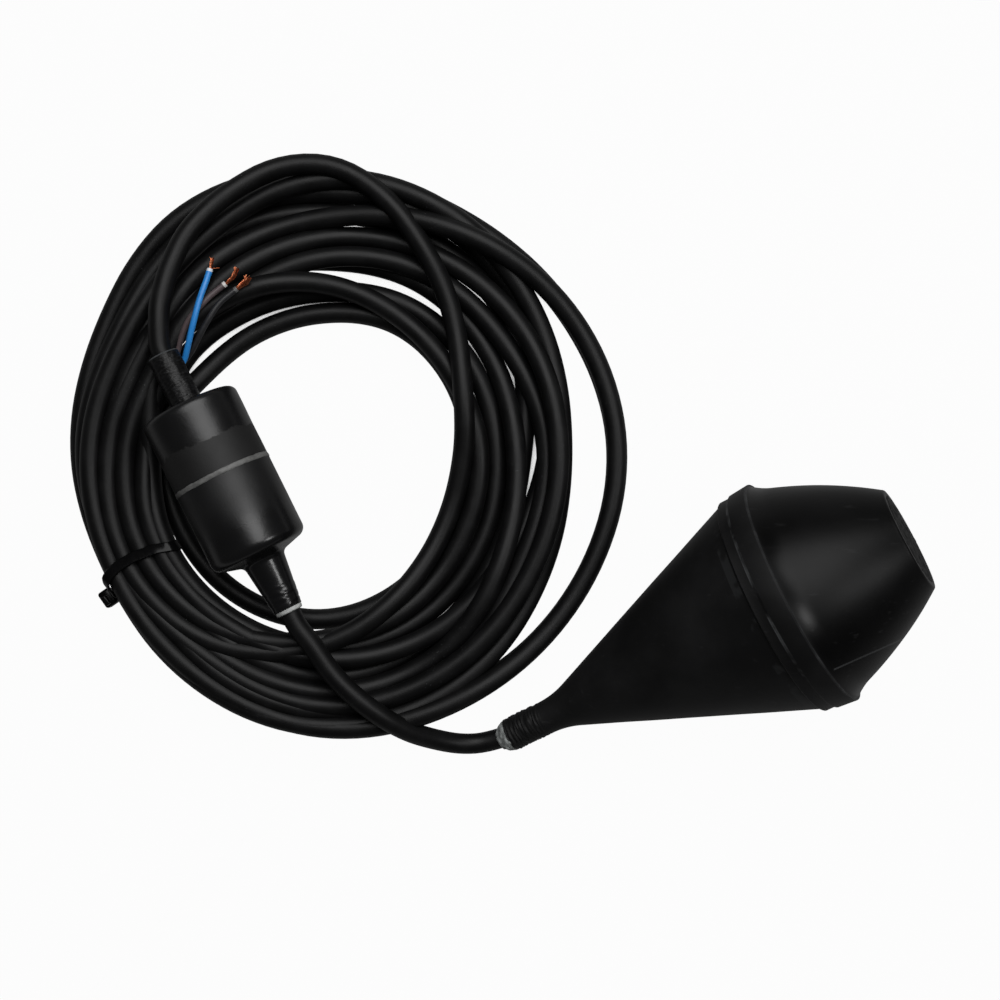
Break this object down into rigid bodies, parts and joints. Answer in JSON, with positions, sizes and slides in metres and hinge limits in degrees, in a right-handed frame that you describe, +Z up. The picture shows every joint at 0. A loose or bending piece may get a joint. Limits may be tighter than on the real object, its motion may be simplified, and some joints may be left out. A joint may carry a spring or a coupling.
{
  "type": "float switch",
  "caption": "Cone-shaped float switch with a long black cable tied in a coil, a cylindrical counterweight on the cable and three stripped cores at its end.",
  "frame": {"origin": "on the bench, under the middle of the box that the float and the counterweight fill together", "axes": "+Z up from the bench; +X from the coil towards the float"},
  "size_m": [0.3773, 0.2731, 0.1005],
  "materials": {
    "float_shell": "satin moulded black",
    "end_plug": "rough black",
    "weight_shell": "satin moulded black",
    "cable_jacket": "black rubber",
    "sealant": "grey-white cured sealant",
    "sleeve": "glossy wrinkled black",
    "resin": "cast resin",
    "capsule": "moulded grey",
    "switch_case": "moulded black",
    "switch_button": "moulded red",
    "spring_steel": "bright",
    "ball_steel": "polished",
    "terminals": "bright",
    "ballast": "as cast",
    "core_blue": "smooth blue",
    "core_brown": "smooth brown",
    "core_black": "smooth black",
    "copper": "bright bare copper strands",
    "tie": "glossy black"
  },
  "bodies": {
    "root": {"float_cone": "float_shell", "float_cap": "float_shell", "float_end_plug": "end_plug", "neck_seal": "sealant", "cable_end_in_neck": "cable_jacket", "inner_cores": "core_brown", "potting_resin": "resin", "capsule_tube": "capsule", "capsule_lid": "capsule", "microswitch_case": "switch_case", "microswitch_terminals": "terminals", "weight_upper_shell": "weight_shell", "weight_lower_shell": "weight_shell", "weight_seam_band": "sealant", "weight_ballast": "ballast", "weight_sleeve": "sleeve", "weight_stem_seal": "sealant", "cable_in_weight": "cable_jacket", "cord_lead": "cable_jacket", "cord_riser": "cable_jacket", "cord_stripped_end": "cable_jacket", "cord_coil": "cable_jacket", "cable_tie": "tie", "core_blue": "core_blue", "core_brown": "core_brown", "core_black": "core_black", "copper_blue": "copper", "copper_brown": "copper", "copper_black": "copper"},
    "ball": {"steel_ball": "ball_steel"},
    "lever": {"microswitch_lever": "spring_steel"},
    "button": {"microswitch_button": "switch_button"}
  },
  "joints": [
    {"name": "ball_roll", "type": "slide", "parent": "root", "child": "ball", "axis": [0.8414, 0.4559, 0.2901], "range_m": [0, 0.025]},
    {"name": "lever_swing", "type": "hinge", "parent": "root", "child": "lever", "pos_m": [0.04535, -0.0594, 0.02657], "axis": [0.255, 0.1382, -0.957], "range_deg": [0, 9.01]},
    {"name": "button_press", "type": "slide", "parent": "root", "child": "button", "axis": [0.8414, 0.4559, 0.2901], "range_m": [0, 0.00051]}
  ],
  "couplings": [
    {"joint": "lever_swing", "follows": "ball_roll", "rad_per_m": 6.284},
    {"joint": "button_press", "follows": "ball_roll", "ratio": 0.02}
  ]
}
